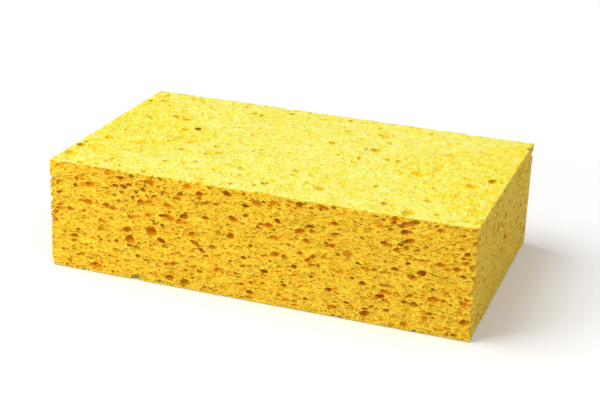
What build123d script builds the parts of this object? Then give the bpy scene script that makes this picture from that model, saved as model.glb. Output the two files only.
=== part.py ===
from build123d import *
import math
import os
import random

# A rectangular cleaning sponge: one block of foamed cellulose, cut from a slab.
#
# The block lies on its largest face. +Z is up, X is its length and Y its width, and the origin is
# the middle of the face that it rests on. The foam rises along Z and settles as it sets, so its
# bubbles are wide along X and Y and low along Z. Where the knife passes through a bubble, part of
# it stays open in the cut face. Those open cells are cut here at their true size, each as a lens:
# a pocket between two shallow domes that meet in a sharp rim. Bubbles narrower than
# CELL_WIDTH_MIN are too many to be solids, and are left out.
#
# Sizes are in millimetres and angles in degrees.

# The block.
LENGTH = 190.0
WIDTH = 114.0
HEIGHT = 50.0
EDGE_RADIUS = 0.5  # a knife leaves the twelve edges barely rounded

# The open cells.
CELL_WIDTH_MIN = 2.8
CELL_WIDTH_MAX = 7.0
CELL_SIZE_BIAS = 2.2  # above 1 makes wide cells rare
CELL_FLATNESS_MIN = 0.55  # height over width
CELL_FLATNESS_MAX = 0.78
CELL_TILT_MAX = 10.0  # off level, about X and about Y
CELL_SINK_MIN = -0.35  # the centre's depth below the cut face, as a share of the cell's reach
CELL_SINK_MAX = 0.55
CELL_WEB = 0.7  # the least foam between two open cells
FACE_WEB = 0.25  # the least foam between a cell and a face that it misses, or bite into one it cuts
CELL_SEED = 11
TRIES_PER_CELL = 60  # after these its face counts as full

# Open cells on each square centimetre of a face, by the face's normal.
ENDS_PER_CM2 = 0.32  # X
SIDES_PER_CM2 = 0.48  # Y
LEVELS_PER_CM2 = 0.26  # Z, the top and the base

HALF_SIZE = (LENGTH / 2, WIDTH / 2, HEIGHT / 2)
PER_CM2 = (ENDS_PER_CM2, SIDES_PER_CM2, LEVELS_PER_CM2)


def block():
    """The knife-cut block, standing on Z = 0."""
    stock = Box(LENGTH, WIDTH, HEIGHT, align=(Align.CENTER, Align.CENTER, Align.MIN))
    return fillet(stock.edges(), EDGE_RADIUS)


def open_cells():
    """Every open cell: its place from the block's middle, width, height and two tilts."""
    cells = []
    for axis in range(3):
        for way in (-1, 1):
            rng = random.Random(CELL_SEED + 2 * axis + (way > 0))
            for _ in range(cell_count(axis)):
                cell = free_cell(rng, axis, way, cells)
                if cell:
                    cells.append(cell)
    return cells


def cell_count(axis):
    """How many cells a face across this axis holds."""
    sides = [2 * HALF_SIZE[i] for i in range(3) if i != axis]
    return round(sides[0] * sides[1] / 100 * PER_CM2[axis])


def free_cell(rng, axis, way, cells):
    """A random cell that keeps clear of the others, or None where the face is full."""
    for _ in range(TRIES_PER_CELL):
        cell = drawn_cell(rng, axis, way)
        if cuts_cleanly(cell) and all(stands_clear(cell, other) for other in cells):
            return cell
    return None


def drawn_cell(rng, axis, way):
    """One random cell that the face across this axis cuts open."""
    spread = (CELL_WIDTH_MAX / CELL_WIDTH_MIN) ** (rng.random() ** CELL_SIZE_BIAS)
    cell_width = CELL_WIDTH_MIN * spread
    cell_height = cell_width * rng.uniform(CELL_FLATNESS_MIN, CELL_FLATNESS_MAX)
    place = [rng.uniform(-half, half) for half in HALF_SIZE]
    sink = reach(axis, cell_width, cell_height) * rng.uniform(CELL_SINK_MIN, CELL_SINK_MAX)
    place[axis] = way * (HALF_SIZE[axis] - sink)
    tilt_x = rng.uniform(-CELL_TILT_MAX, CELL_TILT_MAX)
    tilt_y = rng.uniform(-CELL_TILT_MAX, CELL_TILT_MAX)
    return tuple(place), cell_width, cell_height, tilt_x, tilt_y


def reach(axis, cell_width, cell_height):
    """How far a level cell reaches from its centre along an axis."""
    return (cell_height if axis == 2 else cell_width) / 2


def cuts_cleanly(cell):
    """True if each face is well cut or well missed, and the cell isn't at a corner."""
    place, cell_width, cell_height = cell[:3]
    faces_cut = 0
    for axis in range(3):
        depth = HALF_SIZE[axis] - abs(place[axis])
        bite = reach(axis, cell_width, cell_height) - depth
        if abs(bite) < FACE_WEB:
            return False
        faces_cut += bite > 0
    return faces_cut < 3


def stands_clear(cell, other):
    """True if foam at least CELL_WEB thick stays between the balls around two cells."""
    return math.dist(cell[0], other[0]) - (cell[1] + other[1]) / 2 >= CELL_WEB


def cell_solid(cell):
    """The lens of one cell: the half outline between its domes, turned about its short axis."""
    place, cell_width, cell_height, tilt_x, tilt_y = cell
    dome_radius = (cell_width**2 + cell_height**2) / (4 * cell_height)
    dome_centre = dome_radius - cell_height / 2
    halfway = math.asin(cell_width / 2 / dome_radius) / 2
    middle_x = dome_radius * math.sin(halfway)
    middle_z = dome_radius * math.cos(halfway) - dome_centre
    rim = (cell_width / 2, 0)
    crown = (0, cell_height / 2)
    floor = (0, -cell_height / 2)
    upper = ThreePointArc(rim, (middle_x, middle_z), crown)
    lower = ThreePointArc(floor, (middle_x, -middle_z), rim)
    outline = make_face(Curve() + [upper, Line(crown, floor), lower])
    lens = revolve(Plane.XZ * outline, axis=Axis.Z)
    return Pos(0, 0, HEIGHT / 2) * Pos(*place) * Rot(tilt_x, tilt_y, 0) * lens


def main():
    os.makedirs("parts", exist_ok=True)
    sponge = block() - [cell_solid(cell) for cell in open_cells()]
    sponge.label = "sponge"
    export_step(sponge, "parts/sponge.step")


main()
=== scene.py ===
import math

import bmesh
import bpy
import numpy as np
from mathutils import Matrix, Vector


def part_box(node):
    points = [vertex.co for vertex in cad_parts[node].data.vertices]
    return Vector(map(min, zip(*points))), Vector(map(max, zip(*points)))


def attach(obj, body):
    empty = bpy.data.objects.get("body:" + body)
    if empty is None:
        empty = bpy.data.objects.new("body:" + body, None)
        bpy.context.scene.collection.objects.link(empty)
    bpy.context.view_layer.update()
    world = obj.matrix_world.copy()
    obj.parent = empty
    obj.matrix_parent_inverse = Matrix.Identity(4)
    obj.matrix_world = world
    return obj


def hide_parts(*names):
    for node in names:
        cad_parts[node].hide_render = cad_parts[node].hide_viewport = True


# A cleaning sponge: one knife-cut block of foamed cellulose.
#
# The widest open cells stand where the imported model has them. Geometry Nodes gives them ragged
# walls, opens thousands of smaller cells round and inside them, and cuts them all out of the
# block. The finest cells, packed side by side between these, are in the foam's material, as
# bumps with painted shade in their hollows and under their lips. The cells' walls take deeper
# colours the deeper they lie, as painted shade and bounce light.
#
# The foam rises along Z, so its cells are wide along X and Y and low along Z. The block's ends
# face along X, its long sides along Y, and its level faces, the top and the base, along Z.

bl_info = {
    "name": "Cellulose Cleaning Sponge",
    "version": (1, 0, 0),
    "blender": (4, 5, 0),
    "location": "View3D > Sidebar > Sponge",
    "description": "Builds a cut block of foamed cellulose with open cells, and a plain studio",
    "category": "Add Mesh",
}

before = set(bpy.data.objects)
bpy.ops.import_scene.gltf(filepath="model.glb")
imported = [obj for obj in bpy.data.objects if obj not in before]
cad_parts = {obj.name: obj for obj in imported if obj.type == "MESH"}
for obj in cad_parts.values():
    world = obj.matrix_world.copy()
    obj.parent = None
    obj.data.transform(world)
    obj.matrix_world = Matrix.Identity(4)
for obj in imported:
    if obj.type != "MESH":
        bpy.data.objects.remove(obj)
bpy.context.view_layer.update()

MM = 0.001
NODE = "sponge"
LOW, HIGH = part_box(NODE)
MIDDLE = (LOW + HIGH) / 2
HALF = (HIGH - LOW) / 2


# ---------------------------------------------------------------- node trees as expressions


class Wire:
    """One output of a node. Python maths on wires adds the nodes that work it out."""

    def __init__(self, net, socket):
        self.net = net
        self.socket = socket

    def also(self, name):
        """Another output of the same node."""
        return Wire(self.net, live_socket(self.socket.node.outputs, name))

    def __add__(self, other):
        return self.net.maths("ADD", self, other)

    def __radd__(self, other):
        return self.net.maths("ADD", other, self)

    def __sub__(self, other):
        return self.net.maths("SUBTRACT", self, other)

    def __rsub__(self, other):
        return self.net.maths("SUBTRACT", other, self)

    def __mul__(self, other):
        return self.net.maths("MULTIPLY", self, other)

    def __rmul__(self, other):
        return self.net.maths("MULTIPLY", other, self)

    def __truediv__(self, other):
        return self.net.maths("DIVIDE", self, other)

    def __rtruediv__(self, other):
        return self.net.maths("DIVIDE", other, self)

    def __pow__(self, other):
        return self.net.maths("POWER", self, other)

    def __rpow__(self, other):
        return self.net.maths("POWER", other, self)

    def __abs__(self):
        return self.net.maths("ABSOLUTE", self)

    def __gt__(self, other):
        return self.net.maths("GREATER_THAN", self, other)

    def axes(self):
        """The X, Y and Z of a vector."""
        x = self.net.add("ShaderNodeSeparateXYZ", sockets={"Vector": self})
        return x, x.also("Y"), x.also("Z")


class Net:
    """A node tree that is written as expressions on wires."""

    def __init__(self, tree):
        self.tree = tree

    def add(self, kind, settings=None, sockets=None, take=None):
        """Adds a node, its settings first and then its sockets' values and links.

        Gives the output of the name to take, or the first one in use.
        """
        node = self.tree.nodes.new(kind)
        for name, value in (settings or {}).items():
            setattr(node, name, value)
        for name, value in (sockets or {}).items():
            self.feed(live_socket(node.inputs, name), value)
        live = [socket for socket in node.outputs if socket.enabled]
        return Wire(self, live_socket(live, take) if take else live[0]) if live else None

    def feed(self, socket, value):
        """Links a wire to a socket, or sets the socket's own value."""
        if isinstance(value, Wire):
            self.tree.links.new(value.socket, socket)
        else:
            socket.default_value = value

    def maths(self, operation, *values):
        """A Math node, or a Vector Math node where any of the values is a vector."""
        vector = any(
            value.socket.type == "VECTOR" if isinstance(value, Wire) else isinstance(value, tuple)
            for value in values
        )
        node = self.tree.nodes.new("ShaderNodeVectorMath" if vector else "ShaderNodeMath")
        node.operation = operation
        for socket, value in zip(node.inputs, values):
            plain_number = vector and isinstance(value, (int, float))
            self.feed(socket, (value,) * 3 if plain_number else value)
        return Wire(self, node.outputs[0])

    def length(self, vector):
        """The length of a vector."""
        return self.add(
            "ShaderNodeVectorMath", {"operation": "LENGTH"}, {"Vector": vector}, "Value"
        )

    def vector(self, x, y, z):
        """A vector from three numbers or wires."""
        return self.add("ShaderNodeCombineXYZ", sockets={"X": x, "Y": y, "Z": z})

    def least(self, first, *rest):
        """The least of several numbers."""
        for other in rest:
            first = self.maths("MINIMUM", first, other)
        return first

    def most(self, first, *rest):
        """The greatest of several numbers."""
        for other in rest:
            first = self.maths("MAXIMUM", first, other)
        return first

    def ease(self, value, start, end, low=0.0, high=1.0):
        """Runs smoothly from low to high as the value goes from start to end."""
        return self.add(
            "ShaderNodeMapRange",
            {"interpolation_type": "SMOOTHSTEP"},
            {"Value": value, "From Min": start, "From Max": end, "To Min": low, "To Max": high},
        )

    def mix(self, factor, first, second):
        """A colour between two colours."""
        return self.add(
            "ShaderNodeMix", {"data_type": "RGBA"},
            {"Factor": factor, "A": first, "B": second}, "Result",
        )

    def noise(self, place, scale, detail=2.0):
        """A noise texture: its value, with its colour beside it."""
        return self.add(
            "ShaderNodeTexNoise",
            sockets={"Vector": place, "Scale": scale, "Detail": detail, "Roughness": 0.5},
        )

    def stray(self, place, scale):
        """A random vector that changes smoothly from place to place, and is nil on the average."""
        return self.noise(place, scale, 1.0).also("Color") - (0.5, 0.5, 0.5)

    def chance(self, seed, low=0.0, high=1.0):
        """A random number for each point or instance."""
        return self.add(
            "FunctionNodeRandomValue", {"data_type": "FLOAT"},
            {"Min": low, "Max": high, "Seed": seed},
        )


def live_socket(sockets, name):
    """The socket of that name that the node's settings leave in use."""
    for socket in sockets:
        if socket.name == name and socket.enabled:
            return socket
    raise KeyError(name)


def rgba(colour):
    """A property's colour with full alpha, for a socket."""
    return (*colour, 1.0)


# ---------------------------------------------------------------- the foam's shape


class FoamSettings(bpy.types.PropertyGroup):
    """The block's cut faces and the open cells in them."""

    edge_radius: bpy.props.FloatProperty(
        name="Edge Radius", description="Rounding that the knife leaves",
        default=0.5 * MM, unit="LENGTH",
    )
    facet: bpy.props.FloatProperty(
        name="Facet", description="Grid on the cut faces that carries their unevenness",
        default=4 * MM, unit="LENGTH",
    )
    unevenness: bpy.props.FloatProperty(
        name="Unevenness", description="How deep the cut faces dip",
        default=0.8 * MM, unit="LENGTH",
    )
    raggedness: bpy.props.FloatProperty(
        name="Raggedness", description="How far a cell's wall strays, as a share of its width",
        default=0.32, subtype="FACTOR",
    )
    flatness: bpy.props.FloatProperty(
        name="Flatness", description="A cell's height over its width",
        default=0.55, subtype="FACTOR",
    )
    lean: bpy.props.FloatProperty(
        name="Lean", description="Most that a cell leans off level",
        default=math.radians(14), subtype="ANGLE",
    )
    broad: bpy.props.FloatProperty(
        name="Broad From", description="Half diagonal past which a wide cell gets finer facets",
        default=2.9 * MM, unit="LENGTH",
    )
    medium_low: bpy.props.FloatProperty(
        name="Medium From", description="Least width of a medium cell",
        default=2.4 * MM, unit="LENGTH",
    )
    medium_high: bpy.props.FloatProperty(
        name="Medium To", description="Greatest width of a medium cell",
        default=5.6 * MM, unit="LENGTH",
    )
    medium_density: bpy.props.FloatVectorProperty(
        name="Medium Density", description="Medium cells per square metre of end, side and top",
        default=(22000.0, 38000.0, 6000.0),
    )
    small_low: bpy.props.FloatProperty(
        name="Small From", description="Least width of a small cell",
        default=1.4 * MM, unit="LENGTH",
    )
    small_high: bpy.props.FloatProperty(
        name="Small To", description="Greatest width of a small cell",
        default=2.4 * MM, unit="LENGTH",
    )
    small_density: bpy.props.FloatVectorProperty(
        name="Small Density", description="Small cells per square metre of end, side and top",
        default=(34000.0, 86000.0, 3000.0),
    )
    seed: bpy.props.IntProperty(
        name="Seed", description="Chooses another scatter of cells", default=5,
    )
    least_piece: bpy.props.IntProperty(
        name="Least Piece", description="Loose crumbs with fewer faces than this are taken away",
        default=1000,
    )
    smooth_angle: bpy.props.FloatProperty(
        name="Smooth Angle", description="Facets that meet more sharply keep a crisp edge",
        default=math.radians(42), subtype="ANGLE",
    )


SKIN_DEPTH = 0.16 * MM  # the rounded edges lie no deeper than this below the cut faces
TOUCHING = 0.2 * MM  # a cell this near to a cut face is open there
CORNER_REACH = 1.0 * MM  # what is left of a rounded corner reaches less far than this
SAME_PLACE = MM / 1000  # corners nearer than this are one corner

# Facets round a cell's rim.
BROAD_FACETS = 16
WIDE_FACETS = 10
MEDIUM_FACETS = 8
SMALL_FACETS = 5
DOME = 0.7  # the higher, the thinner a lens is towards its rim, and 0 gives a ball

# How far a cell's middle lies out of its cut face, as a share of its half size there. Below 0 it
# lies inside the foam, and the cell is wider than its mouth.
MEDIUM_DEEPEST = -0.4
SMALL_DEEPEST = -0.1
SHALLOWEST = 0.55

# Half a cell's length and breadth, as shares of its width, and half its height, as a share of
# its width times its flatness.
HALF_WIDTH_LEAST = 0.42
HALF_WIDTH_MOST = 0.6
HALF_HEIGHT_LEAST = 0.4
HALF_HEIGHT_MOST = 0.62
WIDTH_BIAS = 1.6  # above 1 makes the wider cells of a size class rare

# Where cells crowd.
CROWD_SCALE = 28.0  # per metre, so patches are a few centimetres across
CROWD_SWING = 1.6
CROWD_LEAST = 0.2
WALL_START = 1.0 * MM  # from this depth on, a surface is the wall of a wider cell
WALL_END = 1.8 * MM
WALL_CROWD = 0.3
EDGE_START = 0.5 * MM  # from the nearest of the block's edges
EDGE_END = 3.0 * MM
EDGE_CROWD = 2.0

DIP_SCALE = 90.0  # per metre, so dips are about a centimetre across
RAG_SCALE = 1.3  # bulges of a cell's wall for each half diagonal
RAG_GAIN = (2.0, 2.0, 1.2)  # less along Z, because cells are low


def wide_cells():
    """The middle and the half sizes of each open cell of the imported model, read from its walls."""
    walls = bmesh.new()
    walls.from_mesh(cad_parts[NODE].data)
    bmesh.ops.remove_doubles(walls, verts=walls.verts, dist=SAME_PLACE)
    skin = [face for face in walls.faces if depth_of(face.calc_center_median()) < SKIN_DEPTH]
    bmesh.ops.delete(walls, geom=skin, context="FACES")
    cells = [cell_of(island) for island in islands_of(walls)]
    walls.free()
    return [(middle, half) for middle, half in cells if max(half) > CORNER_REACH]


def depth_of(point):
    """How far a point lies below the nearest cut face."""
    return min(min(point[i] - LOW[i], HIGH[i] - point[i]) for i in range(3))


def islands_of(mesh):
    """The points of each connected group of faces, in the order of their first points."""
    seen = set()
    for start in mesh.verts:
        if start in seen:
            continue
        seen.add(start)
        frontier = [start]
        island = []
        while frontier:
            vertex = frontier.pop()
            island.append(vertex.co)
            for edge in vertex.link_edges:
                other = edge.other_vert(vertex)
                if other not in seen:
                    seen.add(other)
                    frontier.append(other)
        yield np.array(island)


def cell_of(points):
    """A cell's middle and half sizes. A cell that is cut open has its middle in the cut face."""
    middle = []
    half = []
    for low, high, start, end in zip(LOW, HIGH, points.min(0), points.max(0)):
        if start - low < TOUCHING:
            start = 2 * low - end
        elif high - end < TOUCHING:
            end = 2 * high - start
        middle.append((start + end) / 2)
        half.append((end - start) / 2)
    return middle, half


def block_with_seeds(settings):
    """The plain block, and a loose point with a half size where each wide cell goes."""
    block = bmesh.new()
    half_size = block.verts.layers.float_vector.new("half_size")
    bmesh.ops.create_cube(block, size=2)
    bmesh.ops.scale(block, vec=HALF, verts=block.verts)
    inner = HALF - Vector((settings.edge_radius,) * 3)
    for axis in range(3):
        across = Vector((axis == 0, axis == 1, axis == 2))
        count = max(1, round(2 * inner[axis] / settings.facet))
        for step in range(count + 1):
            place = inner[axis] * (2 * step / count - 1)
            everything = block.verts[:] + block.edges[:] + block.faces[:]
            bmesh.ops.bisect_plane(
                block, geom=everything, plane_co=across * place, plane_no=across
            )
    for vertex in block.verts:
        core = Vector([max(-inner[i], min(inner[i], vertex.co[i])) for i in range(3)])
        out = vertex.co - core
        if out.length > 0:
            vertex.co = core + out.normalized() * settings.edge_radius
        vertex.co += MIDDLE
    for middle, half in wide_cells():
        block.verts.new(middle)[half_size] = half
    mesh = bpy.data.meshes.new("sponge_foam")
    block.to_mesh(mesh)
    block.free()
    return mesh


def new_foam_tree(settings):
    """The Geometry Nodes tree that opens the cells, with the settings as its named inputs."""
    tree = bpy.data.node_groups.new("open_cells", "GeometryNodeTree")
    kinds = {"Geometry": "NodeSocketGeometry", "Material": "NodeSocketMaterial"}
    for name in ("Geometry", "Material", *foam_inputs(settings)):
        kind = kinds.get(name, "NodeSocketFloat")
        tree.interface.new_socket(name, in_out="INPUT", socket_type=kind)
    tree.interface.new_socket("Geometry", in_out="OUTPUT", socket_type="NodeSocketGeometry")
    net = Net(tree)
    given = net.add("NodeGroupInput")
    block = opened_block(net, given)
    block = net.add("GeometryNodeRealizeInstances", sockets={"Geometry": block})
    block = net.add(
        "GeometryNodeSetMaterial",
        sockets={"Geometry": block, "Material": given.also("Material")},
    )
    net.add("NodeGroupOutput", sockets={"Geometry": block})
    return tree


def foam_inputs(settings):
    """The tree's number inputs, by name, as the settings give them."""
    inputs = {
        "Unevenness": settings.unevenness,
        "Raggedness": settings.raggedness,
        "Flatness": settings.flatness,
        "Lean": settings.lean,
        "Seed": settings.seed,
        "Least Piece": settings.least_piece,
        "Broad": settings.broad,
        "Medium From": settings.medium_low,
        "Medium To": settings.medium_high,
        "Small From": settings.small_low,
        "Small To": settings.small_high,
    }
    for size, density in (("Medium", settings.medium_density), ("Small", settings.small_density)):
        for face, amount in zip(("End", "Side", "Top"), density):
            inputs[f"{size} {face} Density"] = amount
    return inputs


def opened_block(net, given):
    """The block with its wide cells cut out, then the medium ones, then the small ones."""
    half_size = kept_vector(net, "half_size")
    is_seed = net.length(half_size) > 0
    block = net.add(
        "GeometryNodeDeleteGeometry", {"domain": "POINT"},
        {"Geometry": given.also("Geometry"), "Selection": is_seed},
    )
    block = dipped(net, block, given.also("Unevenness"))
    broad = net.length(half_size) > given.also("Broad")
    for facets, chosen in ((WIDE_FACETS, is_seed - broad), (BROAD_FACETS, broad)):
        seeds = net.add(
            "GeometryNodeMeshToPoints",
            sockets={"Mesh": given.also("Geometry"), "Selection": chosen},
        )
        block = cut(net, block, seeds, half_size, facets, given, 0)
    for size, facets, deepest in (
        ("Medium", MEDIUM_FACETS, MEDIUM_DEEPEST),
        ("Small", SMALL_FACETS, SMALL_DEEPEST),
    ):
        points, reach = scattered(net, block, size, deepest, given)
        block = cut(net, block, points, reach, facets, given, 1)
    return without_crumbs(net, block, given.also("Least Piece"))


def without_crumbs(net, block, least):
    """The block without the loose crumbs that the cells leave between them."""
    piece = net.add("GeometryNodeInputMeshIsland")
    faces = net.add(
        "GeometryNodeAccumulateField", {"domain": "FACE"}, {"Value": 1.0, "Group ID": piece},
        "Total",
    )
    return net.add(
        "GeometryNodeDeleteGeometry", {"domain": "FACE"},
        {"Geometry": block, "Selection": least > faces},
    )


def dipped(net, block, depth):
    """The block with faces that dip here and there, and stray nowhere outside their plane."""
    place = net.add("GeometryNodeInputPosition")
    normal = net.add("GeometryNodeInputNormal")
    dip = net.noise(place, DIP_SCALE)
    return net.add(
        "GeometryNodeSetPosition",
        sockets={"Geometry": block, "Offset": normal * dip * (depth * -1)},
    )


def scattered(net, block, size, deepest, given):
    """Points near the block's faces for the cells of one size class, and their half sizes."""
    x, y, z = abs(net.add("GeometryNodeInputNormal")).axes()
    place = net.add("GeometryNodeInputPosition")
    depths = (tuple(HALF) - abs(place - tuple(MIDDLE))).axes()
    depth = net.least(*depths)
    from_edge = depths[0] + depths[1] + depths[2] - depth - net.most(*depths)
    crowding = (
        (net.noise(place, CROWD_SCALE, 1.0) * CROWD_SWING + CROWD_LEAST)
        * net.ease(depth, WALL_START, WALL_END, 1.0, WALL_CROWD)
        * net.ease(from_edge, EDGE_START, EDGE_END, EDGE_CROWD, 1.0)
    )
    density = (
        x * x * given.also(f"{size} End Density")
        + y * y * given.also(f"{size} Side Density")
        + z * z * given.also(f"{size} Top Density")
    )
    seed = given.also("Seed")
    points = net.add(
        "GeometryNodeDistributePointsOnFaces", {"distribute_method": "RANDOM"},
        {"Mesh": block, "Density": density * crowding, "Seed": seed},
    )
    low, high = given.also(f"{size} From"), given.also(f"{size} To")
    width = low * (high / low) ** (net.chance(seed + 1) ** WIDTH_BIAS)
    reach = net.vector(
        width * net.chance(seed + 2, HALF_WIDTH_LEAST, HALF_WIDTH_MOST),
        width * net.chance(seed + 3, HALF_WIDTH_LEAST, HALF_WIDTH_MOST),
        width
        * given.also("Flatness")
        * net.chance(seed + 4, HALF_HEIGHT_LEAST, HALF_HEIGHT_MOST),
    )
    sunk = points.also("Normal") * reach * net.chance(seed + 5, deepest, SHALLOWEST)
    points = net.add("GeometryNodeSetPosition", sockets={"Geometry": points, "Offset": sunk})
    return stored(net, points, "reach", reach)


def stored(net, points, name, value):
    """The points with a vector kept on each, and a wire that reads it back."""
    points = net.add(
        "GeometryNodeStoreNamedAttribute", {"data_type": "FLOAT_VECTOR", "domain": "POINT"},
        {"Geometry": points, "Name": name, "Value": value},
    )
    return points, kept_vector(net, name)


def kept_vector(net, name):
    """A wire that reads a vector kept on each point."""
    return net.add(
        "GeometryNodeInputNamedAttribute", {"data_type": "FLOAT_VECTOR"}, {"Name": name},
        "Attribute",
    )


def cut(net, block, points, reach, facets, given, spin):
    """The block less a ragged lens at each point, whose half sizes are its reach.

    With a spin of 1 the lenses face any way about Z, and with 0 they keep their heading.
    """
    points, reach = stored(net, points, "reach", reach)
    seed = given.also("Seed")
    lean = given.also("Lean")
    turn = net.vector(
        net.chance(seed + 6, -1.0, 1.0) * lean,
        net.chance(seed + 7, -1.0, 1.0) * lean,
        net.chance(seed + 8, 0.0, math.tau) * spin,
    )
    cells = net.add(
        "GeometryNodeInstanceOnPoints",
        sockets={
            "Points": points,
            "Instance": lens(net, facets),
            "Rotation": net.add("FunctionNodeEulerToRotation", sockets={"Euler": turn}),
            "Scale": reach,
        },
    )
    cells = net.add("GeometryNodeRealizeInstances", sockets={"Geometry": cells})
    size = net.length(reach)
    place = net.add("GeometryNodeInputPosition")
    rag = net.stray(place / size, RAG_SCALE) * size * given.also("Raggedness") * RAG_GAIN
    cells = net.add("GeometryNodeSetPosition", sockets={"Geometry": cells, "Offset": rag})
    cells = net.add(
        "GeometryNodeSplitToInstances", {"domain": "FACE"},
        {"Geometry": cells, "Group ID": net.add("GeometryNodeInputMeshIsland")},
    )
    return net.add(
        "GeometryNodeMeshBoolean", {"operation": "DIFFERENCE", "solver": "MANIFOLD"},
        {"Mesh 1": block, "Mesh 2": cells},
    )


def lens(net, facets):
    """A lens one unit in radius: two domes that meet in a level rim."""
    rings = 2 * round(facets / 4)
    ball = net.add(
        "GeometryNodeMeshUVSphere", sockets={"Segments": facets, "Rings": rings, "Radius": 1.0}
    )
    x, y, z = net.add("GeometryNodeInputPosition").axes()
    domed = net.vector(x, y, z * abs(z) ** DOME)
    return net.add("GeometryNodeSetPosition", sockets={"Geometry": ball, "Position": domed})


def finished_mesh(context, maker):
    """The plain mesh that an object's modifiers make, with no empty slot or spare attribute."""
    context.view_layer.update()
    mesh = bpy.data.meshes.new_from_object(maker.evaluated_get(context.evaluated_depsgraph_get()))
    while mesh.materials[0] is None:
        mesh.materials.pop(index=0)
    for name in ("half_size", "reach"):
        mesh.attributes.remove(mesh.attributes[name])
    return mesh


class SPONGE_OT_foam(bpy.types.Operator):
    """Build the foam block with its open cells"""

    bl_idname = "sponge.foam"
    bl_label = "Build Foam"

    def execute(self, context):
        settings = context.scene.sponge_foam
        mesh = block_with_seeds(settings)
        maker = bpy.data.objects.new("foam_maker", mesh)
        context.scene.collection.objects.link(maker)
        tree = new_foam_tree(settings)
        modifier = maker.modifiers.new("open_cells", "NODES")
        modifier.node_group = tree
        values = {"Material": foam_material(context.scene.sponge_finish), **foam_inputs(settings)}
        for item in tree.interface.items_tree:
            if item.in_out == "INPUT" and item.name in values:
                modifier[item.identifier] = values[item.name]
        foam = bpy.data.objects.new("sponge_foam", finished_mesh(context, maker))
        maker.modifiers.remove(modifier)
        bpy.data.objects.remove(maker)
        bpy.data.meshes.remove(mesh)
        if len(foam.data.polygons) == 0:
            raise RuntimeError("the foam came out empty")
        context.scene.collection.objects.link(foam)
        foam.data.shade_smooth()
        foam.data.set_sharp_from_angle(angle=settings.smooth_angle)
        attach(foam, "root")
        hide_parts(NODE)
        return {"FINISHED"}


# ---------------------------------------------------------------- the foam's finish


class FinishSettings(bpy.types.PropertyGroup):
    """The colour and the finest cells of the foam."""

    # Paler on the level faces and more orange on the long sides: partly the cut's own tone,
    # partly a painted sheen on the level faces and painted bounce light in the long sides' cells.
    top_colour: bpy.props.FloatVectorProperty(
        name="Top Colour", description="Foam cut level", subtype="COLOR",
        default=(0.93, 0.82, 0.06),
    )
    side_colour: bpy.props.FloatVectorProperty(
        name="Side Colour", description="Foam cut upright along the length", subtype="COLOR",
        default=(0.98, 0.49, 0.006),
    )
    end_colour: bpy.props.FloatVectorProperty(
        name="End Colour", description="Foam cut upright across the length", subtype="COLOR",
        default=(0.98, 0.63, 0.08),
    )
    # The deep colours are painted shade and bounce light, for deep cell walls and fine pits.
    end_recess_shade_colour: bpy.props.FloatVectorProperty(
        name="End Deep Colour", description="Foam at the bottom of a cell in an end",
        subtype="COLOR", default=(0.72, 0.42, 0.02),
    )
    recess_shade_colour: bpy.props.FloatVectorProperty(
        name="Deep Colour", description="Foam at the bottom of a cell in a long side",
        subtype="COLOR", default=(0.95, 0.40, 0.004),
    )
    top_recess_shade_colour: bpy.props.FloatVectorProperty(
        name="Top Deep Colour", description="Foam at the bottom of a cell in a level face",
        subtype="COLOR", default=(0.97, 0.66, 0.015),
    )
    # Painted shade in the hollows of a long side's finest cells.
    pit_shade_colour: bpy.props.FloatVectorProperty(
        name="Pit Colour", description="The finest cells of a long side", subtype="COLOR",
        default=(0.60, 0.28, 0.008),
    )
    web_colour: bpy.props.FloatVectorProperty(
        name="Web Colour", description="Thin walls between cells of an upright face",
        subtype="COLOR", default=(0.98, 0.67, 0.045),
    )
    top_web_colour: bpy.props.FloatVectorProperty(
        name="Top Web Colour", description="Thin walls between cells of a level face",
        subtype="COLOR", default=(0.95, 0.90, 0.24),
    )
    roughness: bpy.props.FloatProperty(
        name="Roughness", description="How matt the foam is", default=0.85, subtype="FACTOR",
    )
    glow: bpy.props.FloatProperty(
        name="Glow", description="Share of the light that passes through the foam's walls",
        default=0.4, subtype="FACTOR",
    )
    glow_reach: bpy.props.FloatProperty(
        name="Glow Reach", description="How far red light passes through the foam",
        default=2.0 * MM, unit="LENGTH",
    )
    gloss: bpy.props.FloatProperty(
        name="Gloss", description="Strength of the faint reflection", default=0.15,
        subtype="FACTOR",
    )


# Lengths from here to the end of the foam's material are in millimetres, and scales are for
# each millimetre.
SEAM_START = -0.4  # a face's colours start where it is this much nearer than the next face
SEAM_END = 0.6
STRAY_SCALE = 0.5
STRAY = 1.4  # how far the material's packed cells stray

# The material's packed cells, with painted shade in their hollows and under their lips.
COARSE_WIDTH = 3.0
FINE_WIDTH = 1.4
PACKED_FLATNESS = (1.0, 1.0, 2.1)  # their width over their height
WALL_WIDTH = 0.28  # of the slope from a packed cell's wall, as a share of the cell's width
SHALLOWEST_BOWL = 0.2  # the depth of the shallowest, as a share of the deepest's
LIP_START = -0.05  # in cell heights above a cell's middle, where painted shade under its lip starts
LIP_END = 0.3
FINE_DEPTH = 0.5  # a fine cell's depth, as a share of a coarse one's
BUMP_DEPTH = 0.9
TOP_BUMP_LOSS = 0.3

# How much each thing darkens the foam, as painted shade in the packed cells' hollows and lips.
COARSE_SHADE = 0.35
COARSE_LIP_SHADE = 0.7
FINE_SHADE = 0.25
FINE_LIP_SHADE = 0.35
END_FINE_GAIN = 1.2
TOP_FINE_LOSS = 0.7
SHADE_GAIN = 1.12
TOP_SHADE_LOSS = 0.07

# Cloudy patches of the level faces.
CLOUD_SCALE = 0.3
CLOUD_START = 0.4
CLOUD_END = 0.65
CLOUD_SHADE = 0.24

# Faint streaks of the ends: painted shade of their finest cells.
STREAK_LENGTH = (1.0, 0.3, 0.8)  # the lower, the longer along that axis
STREAK_SCALE = 0.7
STREAK_START = 0.54
STREAK_END = 0.64
STREAK_SHADE = 0.7

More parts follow.
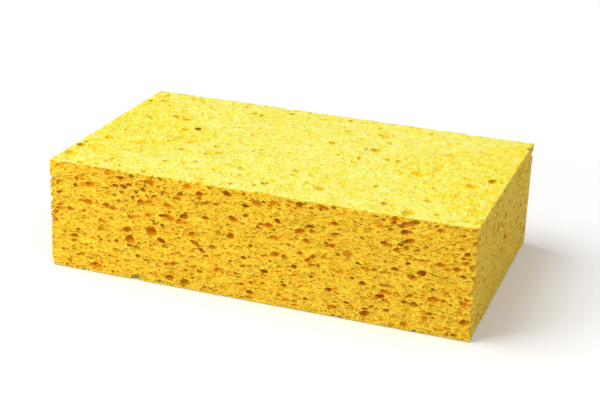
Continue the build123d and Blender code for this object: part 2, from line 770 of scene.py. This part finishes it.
# The colours that these reach are painted shade and bounce light.
# Shades at which one colour gives way to the next, and depths at which a cut cell's walls do.
FACE_SHADE = 0.5
PIT_SHADE_START = 0.35
PIT_SHADE_END = 1.2
DEEP_START = 0.2
DEEP_END = 3.0
TOP_DEEP_END = 1.2

SCATTER = (1.0, 0.45, 0.05)  # how far red, green and blue light pass, as shares of Glow Reach


def foam_material(settings):
    """The foam's material, with cells too fine for the mesh and painted shade in their hollows."""
    material = bpy.data.materials.new("cellulose_foam")
    material.use_nodes = True
    material.node_tree.nodes.clear()
    net = Net(material.node_tree)
    place = (net.add("ShaderNodeTexCoord", take="Object") - tuple(MIDDLE)) * (1 / MM)
    end_depth, side_depth, level_depth = (tuple(HALF / MM) - abs(place)).axes()
    on_end = net.ease(side_depth - end_depth, SEAM_START, SEAM_END)
    on_top = net.ease(net.least(end_depth, side_depth) - level_depth, SEAM_START, SEAM_END)

    packed = place + net.stray(place, STRAY_SCALE) * STRAY
    coarse, coarse_lip_painted_shade = bowls(net, packed, COARSE_WIDTH)
    fine, fine_lip_painted_shade = bowls(net, packed, FINE_WIDTH)
    cloud = net.ease(net.noise(place, CLOUD_SCALE), CLOUD_START, CLOUD_END)
    streak = net.noise(place * STREAK_LENGTH, STREAK_SCALE, 1.0)
    streak = net.ease(streak, STREAK_START, STREAK_END)

    def by_face(side_colour, end_colour, top_colour):
        """The colour of whichever face is nearest."""
        upright = net.mix(on_end, rgba(side_colour), rgba(end_colour))
        return net.mix(on_top, upright, rgba(top_colour))

    # Partly own tone, partly painted sheen on top and painted bounce light in the sides' cells.
    face = by_face(settings.side_colour, settings.end_colour, settings.top_colour)
    deep = by_face(settings.recess_shade_colour, settings.end_recess_shade_colour, settings.top_recess_shade_colour)
    pit = by_face(settings.pit_shade_colour, settings.end_recess_shade_colour, settings.top_recess_shade_colour)
    web = by_face(settings.web_colour, settings.web_colour, settings.top_web_colour)

    # Painted shade of the packed cells' hollows and lips, more on the ends and less on top.
    fine_gain = 1 + on_end * END_FINE_GAIN - on_top * TOP_FINE_LOSS
    shade = coarse * COARSE_SHADE + coarse_lip_painted_shade * COARSE_LIP_SHADE
    shade = shade + (fine * FINE_SHADE + fine_lip_painted_shade * FINE_LIP_SHADE) * fine_gain
    shade = shade * (SHADE_GAIN - on_top * TOP_SHADE_LOSS)
    # Cloudy patches of the level faces' own tone, and the ends' streaks of painted shade.
    shade = shade + cloud * on_top * CLOUD_SHADE + streak * on_end * STREAK_SHADE
    depth = net.least(end_depth, side_depth, level_depth)
    sunk = net.ease(depth, DEEP_START, DEEP_END - on_top * (DEEP_END - TOP_DEEP_END))
    # Painted shade: web colour on the walls, face colour further in, pit colour in the hollows.
    colour = net.mix(net.ease(shade, 0.0, FACE_SHADE), web, face)
    colour = net.mix(net.ease(shade, PIT_SHADE_START, PIT_SHADE_END), colour, pit)
    # Painted shade and bounce light: cut cells' walls take the deep colours the deeper they lie.
    colour = net.mix(sunk, colour, deep)

    bump = net.add(
        "ShaderNodeBump",
        sockets={
            "Strength": 1.0 - on_top * TOP_BUMP_LOSS,
            "Distance": BUMP_DEPTH * MM,
            "Height": (coarse + fine * FINE_DEPTH) * -1,
        },
    )
    surface = net.add(
        "ShaderNodeBsdfPrincipled",
        sockets={
            "Base Color": colour,
            "Roughness": settings.roughness,
            "Specular IOR Level": settings.gloss,
            "Subsurface Weight": settings.glow,
            "Subsurface Radius": SCATTER,
            "Subsurface Scale": settings.glow_reach,
            "Normal": bump,
        },
    )
    net.add("ShaderNodeOutputMaterial", sockets={"Surface": surface})
    return material


def bowls(net, place, width):
    """Packed cells: their depth, 0 on the walls between, and painted shade under their lips."""
    flat = place * PACKED_FLATNESS
    where = {"Vector": flat, "Scale": 1 / width}
    edge = net.add("ShaderNodeTexVoronoi", {"feature": "DISTANCE_TO_EDGE"}, where)
    cell = net.add("ShaderNodeTexVoronoi", sockets=where)
    chance = cell.also("Color").axes()[0]
    depth = net.ease(edge, 0.0, WALL_WIDTH)
    depth = depth * (chance * (1 - SHALLOWEST_BOWL) + SHALLOWEST_BOWL)
    # The lip's share is painted shade under each cell's upper lip, as though lit from above.
    above = (flat - cell.also("Position")).axes()[2] / width
    return depth, depth * net.ease(above, LIP_START, LIP_END)


# ---------------------------------------------------------------- the studio


class StageSettings(bpy.types.PropertyGroup):
    """The floor, the lamps and the camera."""

    floor_size: bpy.props.FloatProperty(
        name="Floor Size", description="Side of the pale floor", default=8.0, unit="LENGTH",
    )
    key_strength: bpy.props.FloatProperty(
        name="Key Strength", description="Light from the front left, above", default=1.95,
    )
    fill_strength: bpy.props.FloatProperty(
        name="Fill Strength", description="Light from the front right", default=0.85,
    )
    window_power: bpy.props.FloatProperty(
        name="Window Power", description="Watts of the softbox to the front left", default=1.3,
    )
    softness: bpy.props.FloatProperty(
        name="Softness", description="How wide each light looks from the block",
        default=math.radians(50), subtype="ANGLE",
    )
    ambient: bpy.props.FloatProperty(
        name="Ambient", description="Strength of the room's light", default=0.38,
    )
    azimuth: bpy.props.FloatProperty(
        name="Azimuth", description="Camera's turn to the right of the front",
        default=math.radians(18.95), subtype="ANGLE",
    )
    elevation: bpy.props.FloatProperty(
        name="Elevation", description="Camera's height above the horizon",
        default=math.radians(21.46), subtype="ANGLE",
    )
    roll: bpy.props.FloatProperty(
        name="Roll", description="Camera's lean to its left", default=math.radians(2.16),
        subtype="ANGLE",
    )
    distance: bpy.props.FloatProperty(
        name="Distance", description="Camera to the block's middle", default=0.6291, unit="LENGTH",
    )
    aim: bpy.props.FloatVectorProperty(
        name="Aim", description="What the camera looks at, right and up of the block's middle",
        size=2, default=(0.00093, -0.00095), unit="LENGTH",
    )
    lens: bpy.props.FloatProperty(
        name="Lens", description="Focal length in millimetres", default=83.3,
    )


KEY_FROM = (-0.65, -0.18, 1.0)  # a direction, as FILL_FROM is
FILL_FROM = (0.8, -0.6, 0.8)
WINDOW_PLACE = (-0.35, -0.45, 0.16)
WINDOW_SIZE = 0.25
FLOOR_LIT = (0.78, 0.78, 0.78, 1.0)  # the floor's colour as it lights the block
FLOOR_SEEN = (0.92, 0.92, 0.92, 1.0)  # and as the camera sees it
FLOOR_ROUGHNESS = 0.9
WHITE = (1.0, 1.0, 1.0, 1.0)


class SPONGE_OT_stage(bpy.types.Operator):
    """Build the floor, the lamps and the camera"""

    bl_idname = "sponge.stage"
    bl_label = "Build Stage"

    def execute(self, context):
        settings = context.scene.sponge_stage
        floor(context, settings)
        soft_light(context, "key", KEY_FROM, settings.key_strength, settings.softness)
        soft_light(context, "fill", FILL_FROM, settings.fill_strength, settings.softness)
        softbox(context, "window", WINDOW_PLACE, WINDOW_SIZE, settings.window_power)
        room(context, settings)
        camera(context, settings)
        context.scene.view_settings.view_transform = "Standard"
        return {"FINISHED"}


def floor(context, settings):
    """A wide pale floor that the camera sees as white and that keeps the block's shadow."""
    mesh = bpy.data.meshes.new("floor")
    reach = settings.floor_size / 2
    corners = [(-reach, -reach, 0), (reach, -reach, 0), (reach, reach, 0), (-reach, reach, 0)]
    mesh.from_pydata(corners, [], [(0, 1, 2, 3)])
    material = bpy.data.materials.new("floor_white")
    material.use_nodes = True
    material.node_tree.nodes.clear()
    net = Net(material.node_tree)
    colour = net.mix(in_view(net), FLOOR_LIT, FLOOR_SEEN)
    surface = net.add(
        "ShaderNodeBsdfPrincipled", sockets={"Base Color": colour, "Roughness": FLOOR_ROUGHNESS}
    )
    net.add("ShaderNodeOutputMaterial", sockets={"Surface": surface})
    mesh.materials.append(material)
    plane = bpy.data.objects.new("floor", mesh)
    context.scene.collection.objects.link(plane)


def in_view(net):
    """1 for what the camera sees, directly or in a reflection, and 0 for what only lights."""
    path = net.add("ShaderNodeLightPath", take="Is Camera Ray")
    return net.most(path, path.also("Is Glossy Ray"), path.also("Is Transmission Ray"))


def soft_light(context, name, source, strength, softness):
    """A broad light, as even as a far window's, that comes from the direction of its source."""
    lamp = bpy.data.lights.new(name, "SUN")
    lamp.energy = strength
    lamp.angle = softness
    holder = bpy.data.objects.new(name, lamp)
    holder.rotation_euler = Vector(source).to_track_quat("Z", "Y").to_euler()
    context.scene.collection.objects.link(holder)


def softbox(context, name, place, size, power):
    """A square lamp that faces the block."""
    lamp = bpy.data.lights.new(name, "AREA")
    lamp.size = size
    lamp.energy = power
    holder = bpy.data.objects.new(name, lamp)
    holder.location = place
    holder.rotation_euler = (Vector(place) - MIDDLE).to_track_quat("Z", "Y").to_euler()
    context.scene.collection.objects.link(holder)


def room(context, settings):
    """Even light from all round, in front of a white background."""
    world = bpy.data.worlds.new("room")
    world.use_nodes = True
    world.node_tree.nodes.clear()
    net = Net(world.node_tree)
    strength = in_view(net) * (1 - settings.ambient) + settings.ambient
    light = net.add("ShaderNodeBackground", sockets={"Color": WHITE, "Strength": strength})
    net.add("ShaderNodeOutputWorld", sockets={"Surface": light})
    context.scene.world = world


def camera(context, settings):
    """The camera, above and to the right of the block's long front."""
    around, up = settings.azimuth, settings.elevation
    back = Vector(
        (math.sin(around) * math.cos(up), -math.cos(around) * math.cos(up), math.sin(up))
    )
    right = Vector((0, 0, 1)).cross(back).normalized()
    over = back.cross(right)
    turn = Matrix.Rotation(settings.roll, 3, back)
    axes = Matrix((turn @ right, turn @ over, back)).transposed()
    data = bpy.data.cameras.new("camera")
    data.lens = settings.lens
    holder = bpy.data.objects.new("camera", data)
    aim = MIDDLE + axes @ Vector((*settings.aim, settings.distance))
    holder.matrix_world = Matrix.Translation(aim) @ axes.to_4x4()
    context.scene.collection.objects.link(holder)
    context.scene.camera = holder


# ---------------------------------------------------------------- the add-on


class SPONGE_PT_panel(bpy.types.Panel):
    """Lists the steps that build the sponge"""

    bl_idname = "SPONGE_PT_panel"
    bl_label = "Cleaning Sponge"
    bl_space_type = "VIEW_3D"
    bl_region_type = "UI"
    bl_category = "Sponge"

    def draw(self, context):
        for operator in OPERATORS:
            self.layout.operator(operator.bl_idname)


OPERATORS = (SPONGE_OT_foam, SPONGE_OT_stage)
SETTINGS = {
    "sponge_foam": FoamSettings,
    "sponge_finish": FinishSettings,
    "sponge_stage": StageSettings,
}
CLASSES = (*SETTINGS.values(), *OPERATORS, SPONGE_PT_panel)


def register():
    for one in CLASSES:
        bpy.utils.register_class(one)
    for name, group in SETTINGS.items():
        setattr(bpy.types.Scene, name, bpy.props.PointerProperty(type=group))


def unregister():
    for name in SETTINGS:
        delattr(bpy.types.Scene, name)
    for one in reversed(CLASSES):
        bpy.utils.unregister_class(one)


def main():
    """Builds the sponge and its stage."""
    register()
    bpy.ops.sponge.foam()
    bpy.ops.sponge.stage()


if __name__ == "__main__":
    main()
